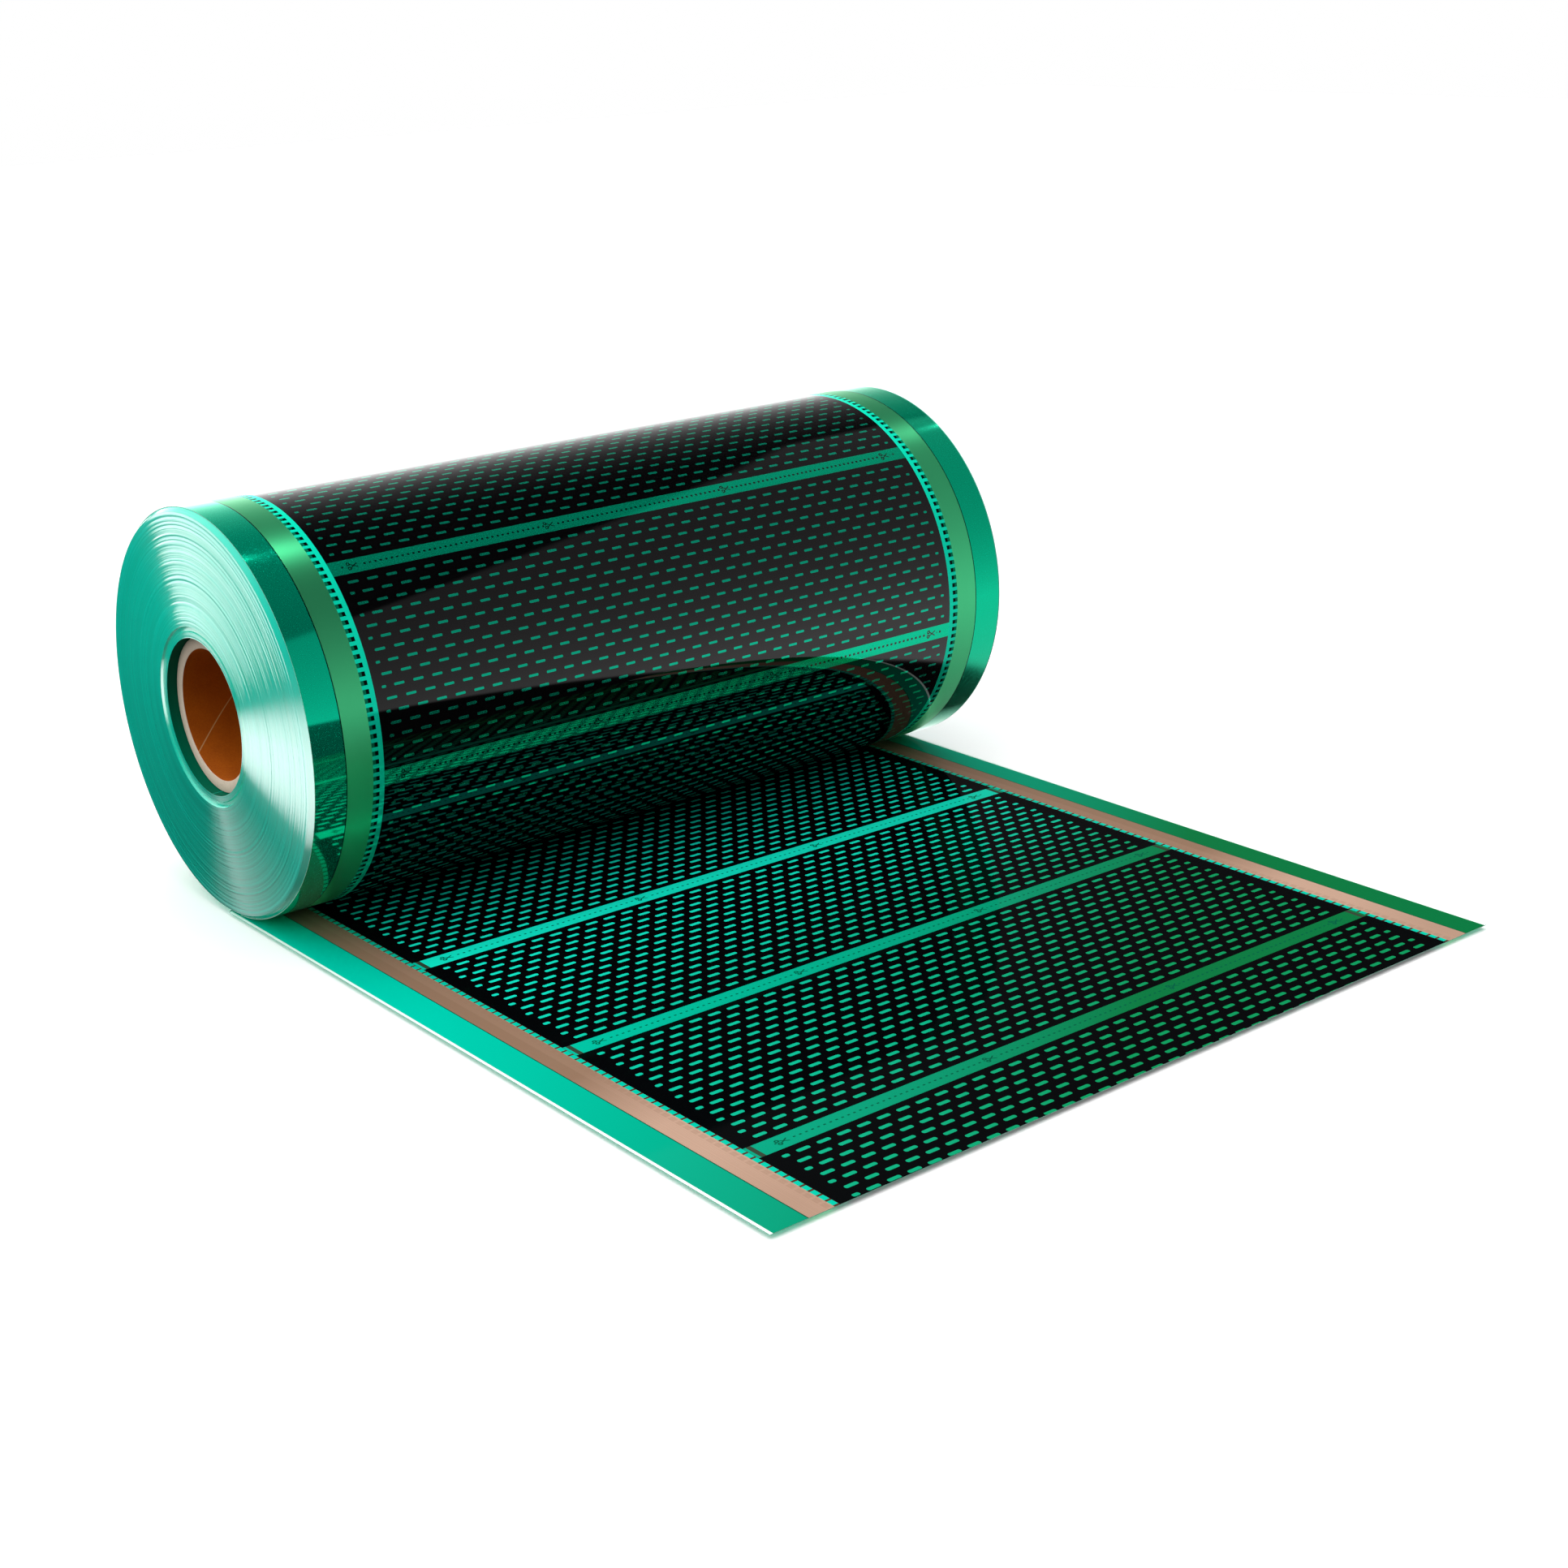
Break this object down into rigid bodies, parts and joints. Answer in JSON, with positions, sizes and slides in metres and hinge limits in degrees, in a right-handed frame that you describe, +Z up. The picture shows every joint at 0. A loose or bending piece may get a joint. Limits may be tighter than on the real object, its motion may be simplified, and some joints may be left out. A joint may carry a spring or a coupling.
{
  "type": "roll of carbon heating film",
  "caption": "Roll of thin carbon heating film wound on a paper core and lying on its side, with its outer end unrolled flat on the floor.",
  "frame": {"origin": "centre of the bounding box at floor level, in front of the roll", "axes": "+Z up; +Y from the free end of the film towards the roll; +X along the roll's axis"},
  "size_m": [0.5024, 0.6184, 0.237],
  "materials": {
    "film": "glossy clear polyester laminate over green tinted film, printed black carbon field with rows of bare dashes, copper bus strip along each edge",
    "core_paper": "spirally wound brown paperboard with a pale cut end"
  },
  "bodies": {
    "root": {"heating_film": "film", "paper_core": "core_paper"}
  },
  "joints": []
}
